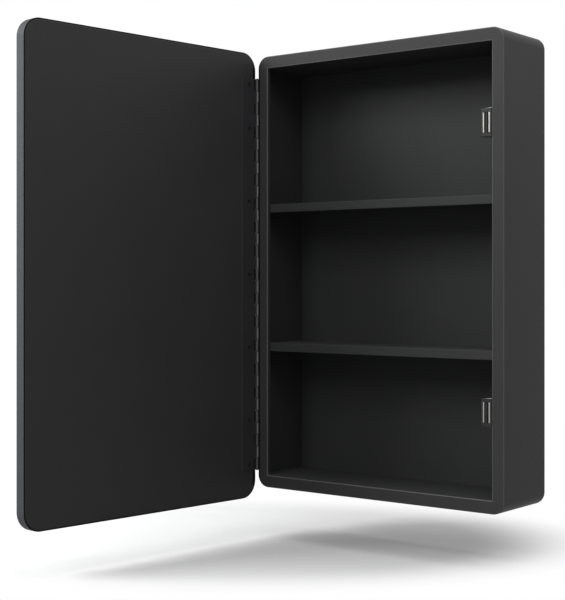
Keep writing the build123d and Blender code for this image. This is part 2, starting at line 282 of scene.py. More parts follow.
sheet = 1.2 * mm
half_sheet = sheet / 2
face_width = 19.4 * mm
face_return = 7.0 * mm
rear_flange = 12.0 * mm
corner_r = 19.0 * mm
opening_r = 2.0 * mm
fold_r = 1.4 * mm
opening_fold_r = 0.65 * mm
fold_highlight_width = 0.8 * mm
skin_low, skin_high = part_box("cabinet_shell")


def skin_corner(inset, depth):
    """The outer corners stay concentric with the skin, the opening's corners with the opening."""
    at_opening = inset > face_width / 2 and depth < skin_low.y + 2 * face_return
    return opening_r + face_width - inset if at_opening else corner_r - inset


satin_black = powder_coat("satin_black_powder_coat", ("#3A3A3B", "#3F3F40"), 0.42)
# Painted highlights: the coat is drawn lighter along the front's outer fold and the opening's.
for inset, fold_corner in ((0, corner_r), (face_width, opening_r)):
    step = Vector((inset, 0, inset))
    fold = from_rim(satin_black.node_tree, skin_low + step, skin_high - step, fold_corner)
    toned(satin_black, fold, fold_highlight_width, fold_highlight_width, "#6A6A6B", 0.8)
face_level = skin_low.y + half_sheet
face_end = face_width - half_sheet
skin_path = [(rear_flange, -half_sheet), (half_sheet, -half_sheet), (half_sheet, face_level),
             (face_end, face_level), (face_end, skin_low.y + face_return)]
skin_section = folded(skin_path, (fold_r, fold_r, opening_fold_r), sheet)
skin_mesh = wrapped(skin_low, skin_high, skin_section, skin_corner, True)
stands_for(finished("cabinet_skin", skin_mesh, satin_black), "cabinet_shell", "cabinet")


# Back panel.
# A shallow steel tray set into the skin from behind, its edge turned back to the wall flange and spot
# welded. The same powder coat, sprayed deep in the box, so it lies a little thinner and duller.

nest_gap = 0.15 * mm
back_fold_r = 0.9 * mm
least_corner = 1.0 * mm
# A tray's flat is drawn from its edge to this far in, and one face fills its middle.
tray_middle = 22 * mm
deep_black = powder_coat("satin_black_powder_coat_inside", ("#383939", "#3D3D3E"), 0.46)
panel_low, panel_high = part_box("back_panel")


def panel_corner(inset, depth):
    """The tray's corners nest in the skin's."""
    return max(corner_r - sheet - nest_gap - inset, least_corner)


panel_level = panel_low.y + half_sheet
panel_path = [(tray_middle, panel_level), (half_sheet, panel_level), (half_sheet, -sheet)]
panel_section = folded(panel_path, (back_fold_r,), sheet)
panel_mesh = wrapped(panel_low, panel_high, panel_section, panel_corner, False)
stands_for(finished("back_sheet", panel_mesh, deep_black), "back_panel", "cabinet")


# Ceiling and floor pans.
# Each is a steel sheet level with the opening's edge, its sides folded into the bay and its front and
# back lips away from it, spot welded to the skin. Powder coated with the rest.

def bar(mesh, outline, axes, start, end):
    """Adds a bar to a bmesh: its section lies in the first two axes named, and it runs along the third.
    The outline goes down one face of a sheet and back up the other, so a ladder of faces fills each
    end."""
    order = [axes.index(axis) for axis in "XYZ"]
    near, far = [[mesh.verts.new([(u, v, length)[k] for k in order]) for u, v in outline]
                 for length in (start, end)]
    count = len(outline)
    for i in range(count):
        j = (i + 1) % count
        mesh.faces.new((near[i], near[j], far[j], far[i]))
    for i in range(count // 2 - 1):
        rung = (i, i + 1, count - 2 - i, count - 1 - i)
        mesh.faces.new([near[k] for k in rung])
        mesh.faces.new([far[k] for k in reversed(rung)])


pan_side_lip = 12.0 * mm
pan_fold_r = 1.0 * mm
lining_x = skin_high.x - sheet - nest_gap
straight_x = skin_high.x - corner_r
for node, name, up in (("ceiling_pan", "ceiling_sheet", 1), ("floor_pan", "floor_sheet", -1)):
    low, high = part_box(node)
    level = skin_high.z - face_width if up == 1 else skin_low.z + face_width
    stiff_end = high.z if up == 1 else low.z
    wall, middle, lip_end = lining_x - half_sheet, level + up * half_sheet, level - up * pan_side_lip
    pan = bmesh.new()
    pan_path = [(-wall, lip_end), (-wall, middle), (wall, middle), (wall, lip_end)]
    bar(pan, folded(pan_path, (pan_fold_r, pan_fold_r), sheet), "XZY", low.y, high.y)
    for depth in (low.y + half_sheet, high.y - half_sheet):
        lip_path = [(depth, level + up * sheet), (depth, stiff_end)]
        bar(pan, folded(lip_path, (), sheet), "YZX", -straight_x, straight_x)
    stands_for(finished(name, pan, deep_black), node, "cabinet")


# Shelves.
# Each is a steel sheet folded down at the front to a 13.5 mm lip with a hem under it, down at the back,
# and down at both ends, where it is spot welded to the skin. The same powder coat.

shelf_hem = 8.0 * mm
shelf_fold_r = 0.6 * mm
for node, name in (("shelf_upper", "upper_shelf_sheet"), ("shelf_lower", "lower_shelf_sheet")):
    low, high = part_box(node)
    front, rear = low.y + half_sheet, high.y - half_sheet
    under, top = low.z + half_sheet, high.z - half_sheet
    shelf_path = [(low.y + shelf_hem, under), (front, under), (front, top), (rear, top), (rear, low.z)]
    shelf = bmesh.new()
    bar(shelf, folded(shelf_path, (shelf_fold_r,) * 3, sheet), "YZX", low.x, high.x)
    for end in (low.x + half_sheet, high.x - half_sheet):
        flange_path = [(end, high.z - sheet), (end, low.z)]
        bar(shelf, folded(flange_path, (), sheet), "XZY", low.y + sheet, high.y - sheet)
    stands_for(finished(name, shelf, deep_black), node, "cabinet")


# Continuous hinge.
# Two strips of 1.2 mm steel with every second length of edge curled round one full-length pin. The
# cabinet's leaf is welded to the outside of the left side, the door's is screwed on the inner skin.
# Black enamel over the rolled steel.

def from_line(tree, point, run):
    """Distance from a straight line, given by a point on it and the axis that it runs along."""
    place = put(tree, "ShaderNodeTexCoord").outputs["Object"]
    offset = put(tree, "ShaderNodeVectorMath", {0: place, 1: point}, operation="SUBTRACT")
    square = [axis != run for axis in "XYZ"]
    level = put(tree, "ShaderNodeVectorMath", {0: offset.outputs[0], 1: square}, operation="MULTIPLY")
    return put(tree, "ShaderNodeVectorMath", {0: level.outputs[0]}, operation="LENGTH").outputs["Value"]


def socket(tree, name, kind, inout="INPUT"):
    """Adds a named input or output to a Geometry Nodes tree."""
    return tree.interface.new_socket(name, in_out=inout, socket_type=kind)


def grown(source, tree, sizes):
    """Runs a Geometry Nodes tree on an object with the given sizes and returns the result as a bmesh."""
    names = {item.name: item.identifier for item in tree.interface.items_tree if item.in_out == "INPUT"}
    modifier = source.modifiers.new(tree.name, "NODES")
    modifier.node_group = tree
    for name, value in sizes.items():
        modifier[names[name]] = value
    bpy.context.view_layer.update()
    evaluated = source.evaluated_get(bpy.context.evaluated_depsgraph_get())
    result = bpy.data.meshes.new_from_object(evaluated)
    mesh = bmesh.new()
    mesh.from_mesh(result)
    source.modifiers.clear()
    bpy.data.objects.remove(source)
    bpy.data.meshes.remove(result)
    return mesh


def row_tree():
    """Repeats the piece that it is put on, in a straight row."""
    tree = bpy.data.node_groups.new("row_of_copies", "GeometryNodeTree")
    socket(tree, "Copy", "NodeSocketGeometry")
    socket(tree, "Count", "NodeSocketInt")
    socket(tree, "Step", "NodeSocketVector")
    socket(tree, "Finish", "NodeSocketMaterial")
    socket(tree, "Row", "NodeSocketGeometry", "OUTPUT")
    given = put(tree, "NodeGroupInput").outputs
    line = put(tree, "GeometryNodeMeshLine", {"Count": given["Count"], "Offset": given["Step"]})
    copies = put(tree, "GeometryNodeInstanceOnPoints",
                 {"Points": line.outputs[0], "Instance": given["Copy"]})
    real = put(tree, "GeometryNodeRealizeInstances", {0: copies.outputs[0]})
    coated = put(tree, "GeometryNodeSetMaterial", {0: real.outputs[0], "Material": given["Finish"]})
    put(tree, "NodeGroupOutput", {0: coated.outputs[0]})
    return tree


hinge = frame["joints"][0]
pin = Vector(hinge["pos_m"])
open_angle = math.radians(-hinge["range_deg"][0])
shut_turn = Matrix.Rotation(-open_angle, 4, "Z")
swing = Matrix.Translation(pin) @ shut_turn @ Matrix.Translation(-pin)
pitch = 19.05 * mm
knuckle_gap = 0.15 * mm
curl_r = 2.25 * mm
curl_start = 0.9 * mm
curl_from = 10
curl_turn = 332
curl_steps = 28
leaf_t = 1.2 * mm
leaf_edge = 0.35 * mm
notch = 4.6 * mm
crest_highlight_width, crest_soft = 0.5 * mm, 1.6 * mm
crevice_shade_reach, crevice_shade_soft = 6.4 * mm, 1.2 * mm
hinge_low, hinge_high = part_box("hinge_leaf_cabinet")
knuckle_count = round((hinge_high.z - hinge_low.z) / pitch)


def enamel(name, crest_angle, amount):
    """Hard black enamel with some gloss, with a painted highlight along the crest of the barrel, kept out
    of the gaps between the knuckles."""
    coat = powder_coat(name, ("#333335", "#3B3B3D"), 0.36, wave_mm=1.4, sheen=0.16)
    turn = math.radians(crest_angle)
    crest = pin + (curl_r + leaf_t / 2) * Vector((math.cos(turn), math.sin(turn), 0))
    from_crest = from_line(coat.node_tree, crest, "Z")
    toned(coat, from_crest, crest_highlight_width, crest_soft, "#8A8A8C", amount, (hinge_low.z, pitch))
    return coat


# Both leaves get a painted highlight on the barrel's crest, the door's leaf a brighter one.
hinge_enamel = enamel("black_enamel_on_rolled_steel", -42, 0.3)
door_leaf_enamel = enamel("black_enamel_on_rolled_steel_door_leaf", -20, 0.9)
# Painted shade: the coat is drawn darker beside the knuckles, in the crevice by the barrel.
from_pin = from_line(satin_black.node_tree, pin, "Z")
toned(satin_black, from_pin, crevice_shade_reach, crevice_shade_soft, "#0A0A0B", 1.0)


def curl(offset):
    """Middle line of a knuckle, about the pin at the origin: in from the notch, then round the pin and
    back."""
    line = [(offset, notch), (offset, curl_start)]
    turns = [math.radians(curl_from - curl_turn * i / curl_steps) for i in range(curl_steps + 1)]
    return line + [(curl_r * math.cos(turn), curl_r * math.sin(turn)) for turn in turns]


def strip(line, thickness):
    """Outline of a thin strip along a smooth middle line: down one face, then back up the other."""
    points = [Vector(point) for point in line]
    left, right = [], []
    for i, point in enumerate(points):
        along = (points[min(i + 1, len(points) - 1)] - points[max(i - 1, 0)]).normalized()
        across = Vector((-along.y, along.x)) * thickness / 2
        left.append(point + across)
        right.append(point - across)
    return [tuple(point) for point in left + right[::-1]]


def knuckles(name, offset, first, facing, finish):
    """Every second knuckle of one leaf as a bmesh, drawn once and repeated along the pin."""
    one = bmesh.new()
    bar(one, strip(curl(offset), leaf_t), "XYZ", knuckle_gap / 2, pitch - knuckle_gap / 2)
    at_pin = Matrix.Translation((pin.x, pin.y, hinge_low.z + first * pitch)) @ facing
    bmesh.ops.transform(one, matrix=at_pin, verts=one.verts)
    raw = bpy.data.meshes.new(name)
    one.to_mesh(raw)
    one.free()
    source = bpy.data.objects.new(name, raw)
    bpy.context.scene.collection.objects.link(source)
    count = (knuckle_count - first + 1) // 2
    return grown(source, row_tree(), {"Count": count, "Step": (0, 0, 2 * pitch), "Finish": finish})


fixed_x = hinge_high.x - leaf_t / 2
leaf = knuckles("fixed_knuckles", fixed_x - pin.x, 0, Matrix.Identity(4), hinge_enamel)
leaf_line = [(fixed_x, pin.y + notch), (fixed_x, hinge_high.y)]
bar(leaf, folded(leaf_line, (), leaf_t), "XYZ", hinge_low.z, hinge_high.z)
fixed_leaf = finished("fixed_hinge_leaf", leaf, hinge_enamel, leaf_edge)
stands_for(fixed_leaf, "hinge_leaf_cabinet", "cabinet")


def dress(material, *nodes):
    """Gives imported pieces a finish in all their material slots."""
    for name in nodes:
        for slot in frame["nodes"][name].material_slots:
            slot.material = material


dress(hinge_enamel, "hinge_pin")


def shut_box(node):
    """Lowest and highest corner of a door piece as it lies with the door shut."""
    back = swing.inverted()
    places = [back @ vertex.co for vertex in frame["nodes"][node].data.vertices]
    return (Vector([min(place[k] for place in places) for k in range(3)]),
            Vector([max(place[k] for place in places) for k in range(3)]))


moving_high = shut_box("hinge_leaf_door")[1]
door_low, door_high = shut_box("door_edge_frame")
pan_low, pan_high = shut_box("door_pan")
leaf_face = pan_high.y + leaf_t
moving_y = pan_high.y + leaf_t / 2
# Painted highlight: the leaf's free edge is drawn a little lighter.
free_edge_highlight = 0.5 * mm
free_edge = swing @ Vector((moving_high.x, leaf_face, 0))
from_free_edge = from_line(door_leaf_enamel.node_tree, free_edge, "Z")
toned(door_leaf_enamel, from_free_edge, free_edge_highlight, free_edge_highlight, "#7A7A7C", 0.12)
# With the door shut its leaf lies a quarter turn from the cabinet's.
quarter_turn = Matrix.Rotation(math.radians(-90), 4, "Z")
leaf = knuckles("moving_knuckles", pin.y - moving_y, 1, quarter_turn, door_leaf_enamel)
leaf_line = [(pin.x + notch, moving_y), (moving_high.x, moving_y)]
bar(leaf, folded(leaf_line, (), leaf_t), "XYZ", hinge_low.z, hinge_high.z)


# Hinge screws.
# Seven slotted countersunk steel screws, their heads flush in the door's leaf, driven by hand, so that no
# two slots stand alike. Black oxide over turned steel, rubbed a little by the driver.

def turned(profile, steps=24):
    """A turned part as a bmesh: its profile of (radius, height) points goes round the Y axis, closed at
    both ends."""
    mesh = bmesh.new()
    turns = [2 * math.pi * i / steps for i in range(steps)]
    rings = [[mesh.verts.new((radius * math.cos(turn), height, radius * math.sin(turn))) for turn in turns]
             for radius, height in profile]
    for near, far in zip(rings, rings[1:]):
        for i in range(steps):
            j = (i + 1) % steps
            mesh.faces.new((near[i], near[j], far[j], far[i]))
    mesh.faces.new(rings[0])
    mesh.faces.new(rings[-1][::-1])
    return mesh


def block(low, high):
    """A plain cutter block between two corners."""
    mesh = bmesh.new()
    outline = [(low[0], low[1]), (high[0], low[1]), (high[0], high[1]), (low[0], high[1])]
    bar(mesh, outline, "XYZ", low[2], high[2])
    return finished("cutter", mesh, hinge_enamel, 0)


def worked_metal(name, colours, rough, grit_mm, run, blotch_mm=9.0):
    """Bare or plated metal: fine scratches along one axis, and a slow change of tone and polish."""
    material, tree = new_material(name)
    place = put(tree, "ShaderNodeTexCoord").outputs["Object"]
    scratch_length = 40
    stretch = [1000 / grit_mm] * 3
    stretch["XYZ".index(run)] /= scratch_length
    scaled = put(tree, "ShaderNodeVectorMath", {0: place, 1: stretch}, operation="MULTIPLY")
    lines = put(tree, "ShaderNodeTexNoise", {"Vector": scaled.outputs[0], "Scale": 1.0, "Detail": 2.0})
    blotch = put(tree, "ShaderNodeTexNoise", {"Vector": place, "Scale": 1000 / blotch_mm, "Detail": 3.0})
    tint = put(tree, "ShaderNodeMix",
               {0: blotch.outputs["Fac"], 6: linear(colours[0]), 7: linear(colours[1])}, data_type="RGBA")
    polish = put(tree, "ShaderNodeMapRange",
                 {"Value": lines.outputs["Fac"], "From Min": 0.3, "From Max": 0.7,
                  "To Min": rough - 0.06, "To Max": rough + 0.06})
    bump = put(tree, "ShaderNodeBump",
               {"Strength": 0.25, "Distance": 0.01 * mm, "Height": lines.outputs["Fac"]})
    shader = put(tree, "ShaderNodeBsdfPrincipled",
                 {"Base Color": tint.outputs[2], "Metallic": 1.0, "Roughness": polish.outputs[0],
                  "Normal": bump.outputs[0]})
    put(tree, "ShaderNodeOutputMaterial", {"Surface": shader.outputs[0]})
    return material


def screw_tree():
    """Repeats the screw that it is put on: one near each end of the leaf and an even row between, turned at
    random."""
    tree = bpy.data.node_groups.new("screws_along_a_leaf", "GeometryNodeTree")
    socket(tree, "Screw", "NodeSocketGeometry")
    for name in ("First End", "First In Row", "End Step", "Row Step", "Most Turn"):
        socket(tree, name, "NodeSocketVector")
    socket(tree, "Row Count", "NodeSocketInt")
    socket(tree, "Seed", "NodeSocketInt")
    socket(tree, "Finish", "NodeSocketMaterial")
    socket(tree, "Screws", "NodeSocketGeometry", "OUTPUT")
    given = put(tree, "NodeGroupInput").outputs
    ends = put(tree, "GeometryNodeMeshLine",
               {"Count": 2, "Start Location": given["First End"], "Offset": given["End Step"]})
    row = put(tree, "GeometryNodeMeshLine",
              {"Count": given["Row Count"], "Start Location": given["First In Row"],
               "Offset": given["Row Step"]})
    both = put(tree, "GeometryNodeJoinGeometry", {0: ends.outputs[0]})
    tree.links.new(row.outputs[0], both.inputs[0])
    turn = put(tree, "FunctionNodeRandomValue", {1: given["Most Turn"], "Seed": given["Seed"]},
               data_type="FLOAT_VECTOR")
    copies = put(tree, "GeometryNodeInstanceOnPoints",
                 {"Points": both.outputs[0], "Instance": given["Screw"], "Rotation": turn.outputs[0]})
    real = put(tree, "GeometryNodeRealizeInstances", {0: copies.outputs[0]})
    coated = put(tree, "GeometryNodeSetMaterial", {0: real.outputs[0], "Material": given["Finish"]})
    put(tree, "NodeGroupOutput", {0: coated.outputs[0]})
    return tree


screw_end = 9.0 * mm
screw_second = 80.0 * mm
screw_bays = 4
screw_seed = 5
screw_length = 8.0 * mm
screw_break = 0.15 * mm
screw_edge = 0.06 * mm
head_r = 3.2 * mm
neck_r = 1.9 * mm
shank_r = 1.75 * mm
sink_gap = 0.25 * mm
sink_past = 0.2 * mm
slot_width = 0.9 * mm
slot_depth = 0.5 * mm
screw_low, screw_high = shut_box("door_screws")
screw_x = (screw_low.x + screw_high.x) / 2
hinge_length = hinge_high.z - hinge_low.z
row_step = (hinge_length - 2 * screw_second) / screw_bays
screw_row = screw_tree()
black_oxide = worked_metal("black_oxide_on_steel", ("#2E2E30", "#444446"), 0.38, 0.2, "Z", 1.5)


def along_leaf(screw):
    """The screw, or its bore, at all its places on the door's leaf as it lies with the door shut."""
    foot = Vector((screw_x, leaf_face, hinge_low.z))
    return grown(screw, screw_row, {
        "First End": foot + Vector((0, 0, screw_end)), "End Step": (0, 0, hinge_length - 2 * screw_end),
        "First In Row": foot + Vector((0, 0, screw_second)), "Row Step": (0, 0, row_step),
        "Row Count": screw_bays + 1, "Most Turn": (0, math.pi, 0), "Seed": screw_seed,
        "Finish": black_oxide})


sink_profile = [(head_r + sink_gap, sink_past), (head_r + sink_gap, 0), (neck_r + sink_gap, -leaf_t),
                (neck_r + sink_gap, -leaf_t - sink_past)]
sink = finished("sink", turned(sink_profile), hinge_enamel, 0)
sinks = finished("sinks", along_leaf(sink), hinge_enamel, 0)
moving_leaf = finished("moving_hinge_leaf", leaf, door_leaf_enamel, leaf_edge, swing, sinks)
stands_for(moving_leaf, "hinge_leaf_door", "door")
screw_profile = [(head_r - screw_break, 0), (head_r, -screw_break), (neck_r, -leaf_t),
                 (shank_r, -leaf_t - screw_break), (shank_r, screw_break - screw_length),
                 (shank_r - screw_break, -screw_length)]
slot_cut = block((-2 * head_r, -slot_depth, -slot_width / 2), (2 * head_r, slot_depth, slot_width / 2))
screw = finished("screw", turned(screw_profile), black_oxide, screw_edge, None, slot_cut)
leaf_screws = finished("leaf_screws", along_leaf(screw), black_oxide, 0, swing)
stands_for(leaf_screws, "door_screws", "door")


# Door edge frame.
# A narrow channel of aluminium rolled round the door, with a lip that holds the mirror from the front.
# Gun-metal anodised after a satin brushing along its length.

def arc(centre, radius, start, end, steps=5):
    """Points along an arc, given in degrees."""
    turns = [math.radians(start + (end - start) * i / steps) for i in range(steps + 1)]
    return [(centre[0] + radius * math.cos(turn), centre[1] + radius * math.sin(turn)) for turn in turns]


def measured(tree, curve, name):
    """Stores the distance along a curve on its points, for the brushing to follow."""
    length = put(tree, "GeometryNodeSplineParameter").outputs["Length"]
    return put(tree, "GeometryNodeStoreNamedAttribute", {"Geometry": curve, "Name": name, "Value": length},
               data_type="FLOAT", domain="POINT").outputs[0]


def frame_tree():
    """Sweeps the section curve that it is put on round a rounded rectangle."""
    tree = bpy.data.node_groups.new("section_round_a_frame", "GeometryNodeTree")
    socket(tree, "Section", "NodeSocketGeometry")
    for name in ("Width", "Height", "Corner Radius"):
        socket(tree, name, "NodeSocketFloat")
    socket(tree, "Corner Steps", "NodeSocketInt")
    socket(tree, "Centre", "NodeSocketVector")
    socket(tree, "Finish", "NodeSocketMaterial")
    socket(tree, "Frame", "NodeSocketGeometry", "OUTPUT")
    given = put(tree, "NodeGroupInput").outputs
    outline = put(tree, "GeometryNodeCurvePrimitiveQuadrilateral",
                  {"Width": given["Width"], "Height": given["Height"]})
    rounded = put(tree, "GeometryNodeFilletCurve",
                  {0: outline.outputs[0], "Count": given["Corner Steps"],
                   "Radius": given["Corner Radius"]}, mode="POLY")
    path = measured(tree, rounded.outputs[0], "along")
    section = measured(tree, given["Section"], "across")
    swept = put(tree, "GeometryNodeCurveToMesh", {"Curve": path, "Profile Curve": section})
    upright = put(tree, "GeometryNodeTransform",
                  {0: swept.outputs[0], "Translation": given["Centre"],
                   "Rotation": (math.radians(90), 0, 0)})
    real = put(tree, "GeometryNodeRealizeInstances", {0: upright.outputs[0]})
    coated = put(tree, "GeometryNodeSetMaterial", {0: real.outputs[0], "Material": given["Finish"]})
    put(tree, "NodeGroupOutput", {0: coated.outputs[0]})
    return tree


def anodised(name, colours, rough, line_mm, run_mm, shade_line_start, shade_line_colour):
    """Brushed and anodised aluminium: long fine lines that follow the strip, under a thin dark oxide. Past
    a distance round its section it is painted near black, as painted shade for the dark line between the
    band and the door's skin."""
    material, tree = new_material(name)
    along = put(tree, "ShaderNodeAttribute", attribute_name="along").outputs["Fac"]
    across = put(tree, "ShaderNodeAttribute", attribute_name="across").outputs["Fac"]
    place = put(tree, "ShaderNodeCombineXYZ", {"X": along, "Y": across})
    scale = (1000 / run_mm, 1000 / line_mm, 0)
    scaled = put(tree, "ShaderNodeVectorMath", {0: place.outputs[0], 1: scale}, operation="MULTIPLY")
    lines = put(tree, "ShaderNodeTexNoise", {"Vector": scaled.outputs[0], "Scale": 1.0, "Detail": 3.0})
    tint = put(tree, "ShaderNodeMix",
               {0: lines.outputs["Fac"], 6: linear(colours[0]), 7: linear(colours[1])}, data_type="RGBA")
    polish = put(tree, "ShaderNodeMapRange",
                 {"Value": lines.outputs["Fac"], "From Min": 0.3, "From Max": 0.7,
                  "To Min": rough - 0.08, "To Max": rough + 0.08})
    bump = put(tree, "ShaderNodeBump",
               {"Strength": 0.3, "Distance": 0.02 * mm, "Height": lines.outputs["Fac"]})
    shade_line_soft = 0.2 * mm
    shade_line = put(tree, "ShaderNodeMapRange",
              {"Value": across, "From Min": shade_line_start, "From Max": shade_line_start + shade_line_soft})
    shown = put(tree, "ShaderNodeMix", {0: shade_line.outputs[0], 6: tint.outputs[2], 7: linear(shade_line_colour)},
                data_type="RGBA")
    shader = put(tree, "ShaderNodeBsdfPrincipled",
                 {"Base Color": shown.outputs[2], "Metallic": 1.0, "Roughness": polish.outputs[0],
                  "Normal": bump.outputs[0]})
    put(tree, "ShaderNodeOutputMaterial", {"Surface": shader.outputs[0]})
    return material


frame_wall = 1.6 * mm
frame_lip = 4.0 * mm
frame_lip_t = 1.2 * mm
frame_front_r = 1.2 * mm
frame_back_r = 0.5 * mm
frame_edge = 0.15 * mm
shade_line_past_edge = 0.1 * mm
door_corner_r = 28.0 * mm
door_corner_steps = 16
y_front, y_back = door_low.y, door_high.y
to_back_edge = frame_front_r * math.pi / 2 + (y_back - y_front) - frame_front_r - frame_back_r
# The band's rear face is painted near black past its back edge: painted shade for the line between band and
# door skin.
gun_metal = anodised("gun_metal_anodised_aluminium", ("#414245", "#4D4E51"), 0.68, 0.35, 60,
                     to_back_edge + shade_line_past_edge, "#0B0B0C")
section = arc((-frame_front_r, y_front + frame_front_r), frame_front_r, -90, 0)
section += arc((-frame_back_r, y_back - frame_back_r), frame_back_r, 0, 90, 3)
section += arc((-frame_wall + frame_back_r, y_back - frame_back_r), frame_back_r, 90, 180, 3)
section += [(-frame_wall, y_front + frame_lip_t), (-frame_lip, y_front + frame_lip_t),
            (-frame_lip, y_front)]
section_curve = bpy.data.curves.new("edge_section", "CURVE")
section_curve.dimensions = "3D"
spline = section_curve.splines.new("POLY")
spline.points.add(len(section) - 1)
for point, (u, v) in zip(spline.points, section):
    point.co = (u, v, 0, 1)
spline.use_cyclic_u = True
section_holder = bpy.data.objects.new("edge_section", section_curve)
bpy.context.scene.collection.objects.link(section_holder)
band = grown(section_holder, frame_tree(), {
    "Width": door_high.x - door_low.x, "Height": door_high.z - door_low.z,
    "Corner Radius": door_corner_r, "Corner Steps": door_corner_steps,
    "Centre": ((door_low.x + door_high.x) / 2, 0, (door_low.z + door_high.z) / 2),
    "Finish": gun_metal})
edge_band = finished("door_edge_band", band, gun_metal, frame_edge, swing)
stands_for(edge_band, "door_edge_frame", "door")


# Door skin.
# A flat steel tray that closes the door on the cabinet side, its edge folded towards the mirror inside
# the frame. The same satin black powder coat.

door_fold_r = 1.2 * mm
pan_inset = frame_wall + nest_gap


def pan_corner(inset, depth):
    """What lies inside the frame has corners that nest in the frame's."""
    return max(door_corner_r - pan_inset - inset, least_corner)


pan_level = pan_high.y - half_sheet
pan_path = [(tray_middle, pan_level), (half_sheet, pan_level), (half_sheet, pan_low.y)]
pan_section = folded(pan_path, (door_fold_r,), sheet)
pan_mesh = wrapped(pan_low, pan_high, pan_section, pan_corner, False)
stands_for(finished("door_skin", pan_mesh, satin_black, place=swing), "door_pan", "door")


# Mirror.
# 4 mm float glass, silvered and backed with paint, its edges ground and arrissed, held under the
# frame's lip. The silver gives a clear, almost colourless reflection, which the glass tints faintly green.

arris = 0.4 * mm
glass_low, glass_high = shut_box("mirror_glass")
silver, tree = new_material("silvered_float_glass")
shader = put(tree, "ShaderNodeBsdfPrincipled",
             {"Base Color": linear("#E4EAE8"), "Metallic": 1.0, "Roughness": 0.02})
put(tree, "ShaderNodeOutputMaterial", {"Surface": shader.outputs[0]})
glass_section = [(tray_middle, glass_low.y), (arris, glass_low.y), (0, glass_low.y + arris),
                 (0, glass_high.y - arris), (arris, glass_high.y), (tray_middle, glass_high.y)]
glass_mesh = wrapped(glass_low, glass_high, glass_section, pan_corner, False)
glass = finished("mirror_plate", glass_mesh, silver, 0, swing)
stands_for(glass, "mirror_glass", "door")


# Magnetic catches.
# A black moulded body screwed to a steel hat bracket inside the right side. It holds a ferrite block
# between two ground steel pole plates, which stand a little proud, with a thin moulded rib between them.

def softened(node, name, material, edge=0.2 * mm, extra=None):
    """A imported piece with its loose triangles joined, its flat faces made one and its edges broken."""
    mesh = bmesh.new()
    mesh.from_mesh(frame["nodes"][node].data)
    bmesh.ops.remove_doubles(mesh, verts=mesh.verts, dist=0.01 * mm)
    most_flat_turn = math.radians(0.5)
    bmesh.ops.dissolve_limit(mesh, angle_limit=most_flat_turn, verts=mesh.verts, edges=mesh.edges)
    if extra:
        extra(mesh)
    return finished(name, mesh, material, edge)


def moulded(name, colour, rough, grain_mm=0.25, sheen=0.5):
    """Moulded or pressed black stock, one tone all through, with a fine even grain from its tool."""
    material, tree = new_material(name)
    place = put(tree, "ShaderNodeTexCoord").outputs["Object"]
    grain = put(tree, "ShaderNodeTexNoise", {"Vector": place, "Scale": 1000 / grain_mm, "Detail": 2.0})
    bump = put(tree, "ShaderNodeBump",
               {"Strength": 0.3, "Distance": 0.03 * mm, "Height": grain.outputs["Fac"]})
    shader = put(tree, "ShaderNodeBsdfPrincipled",
                 {"Base Color": linear(colour), "Roughness": rough, "IOR": 1.54,
                  "Specular IOR Level": sheen, "Normal": bump.outputs[0]})
    put(tree, "ShaderNodeOutputMaterial", {"Surface": shader.outputs[0]})
    return material


# Injection-moulded ABS is slightly glossy. Ground steel is bright, with fine straight scratches. Sintered
# ferrite is a dull charcoal, and bright zinc plate a pale metal with a soft bloom.
black_abs = moulded("black_moulded_abs", "#121213", 0.24, sheen=0.32)
ground_steel = worked_metal("ground_steel_pole_plate", ("#8E8D8A", "#A09F9B"), 0.34, 0.12, "Z")
ferrite = moulded("sintered_ferrite", "#2A2A2C", 0.62, 0.6)
zinc_plate = worked_metal("bright_zinc_plate", ("#9FA2A4", "#B4B6B7"), 0.3, 0.3, "X")
rib_half = 1.0 * mm
rib_set_back = 0.5 * mm
body_edge = 0.25 * mm
plate_edge = 0.45 * mm
top_highlight_reach, lower_shade_reach, reach_soft = 0.5 * mm, 1.0 * mm, 0.7 * mm
for where in ("upper", "lower"):
    magnet_low, magnet_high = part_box("catch_magnet_" + where)
    body_low, body_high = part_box("catch_housing_" + where)
    magnet_x = (magnet_low.x + magnet_high.x) / 2

    def rib(mesh):
        """Adds the rib between the pole plates, from near the body's front back to the magnet."""
        left, right, front = magnet_x - rib_half, magnet_x + rib_half, body_low.y + rib_set_back
        outline = [(left, front), (right, front), (right, magnet_low.y), (left, magnet_low.y)]
        bar(mesh, outline, "XYZ", magnet_low.z, magnet_high.z)

    body = softened("catch_housing_" + where, where + "_catch_body", black_abs, body_edge, rib)
    stands_for(body, "catch_housing_" + where, "cabinet")
    # Painted highlight along the body's front upper edge, and painted shade along the lower one.
    for height, wide, colour in ((body_high.z, top_highlight_reach, "#B4B4B6"),
                                 (body_low.z, lower_shade_reach, "#020202")):
        from_edge = from_line(black_abs.node_tree, (magnet_x, body_low.y, height), "X")
        toned(black_abs, from_edge, wide, reach_soft, colour, 1.0)
    plates = softened("catch_poles_" + where, where + "_pole_plates", ground_steel, plate_edge)
    stands_for(plates, "catch_poles_" + where, "cabinet")
    bracket = softened("catch_bracket_" + where, where + "_catch_bracket", satin_black)
    stands_for(bracket, "catch_bracket_" + where, "cabinet")
    dress(ferrite, "catch_magnet_" + where)
fixings = softened("catch_screws", "catch_fixings", zinc_plate)
stands_for(fixings, "catch_screws", "cabinet")


# Hanging rail and wall cleat.
# Two Z-shaped strips of 1.5 mm steel, one welded behind the back panel and one screwed to the wall, which
# hook into each other. Bright zinc plate, with the fine rolling lines of plated strip.

for node, name in (("hanging_rail", "rail"), ("wall_cleat", "cleat")):
    stands_for(softened(node, name, zinc_plate), node, "cabinet")


# Inside the door.
# A zinc-plated strip for the hinge screws, a kraft paper honeycomb that keeps the skins apart, and a
# hardboard sheet that backs the glass. They are shut in, and show only when the door is taken apart.

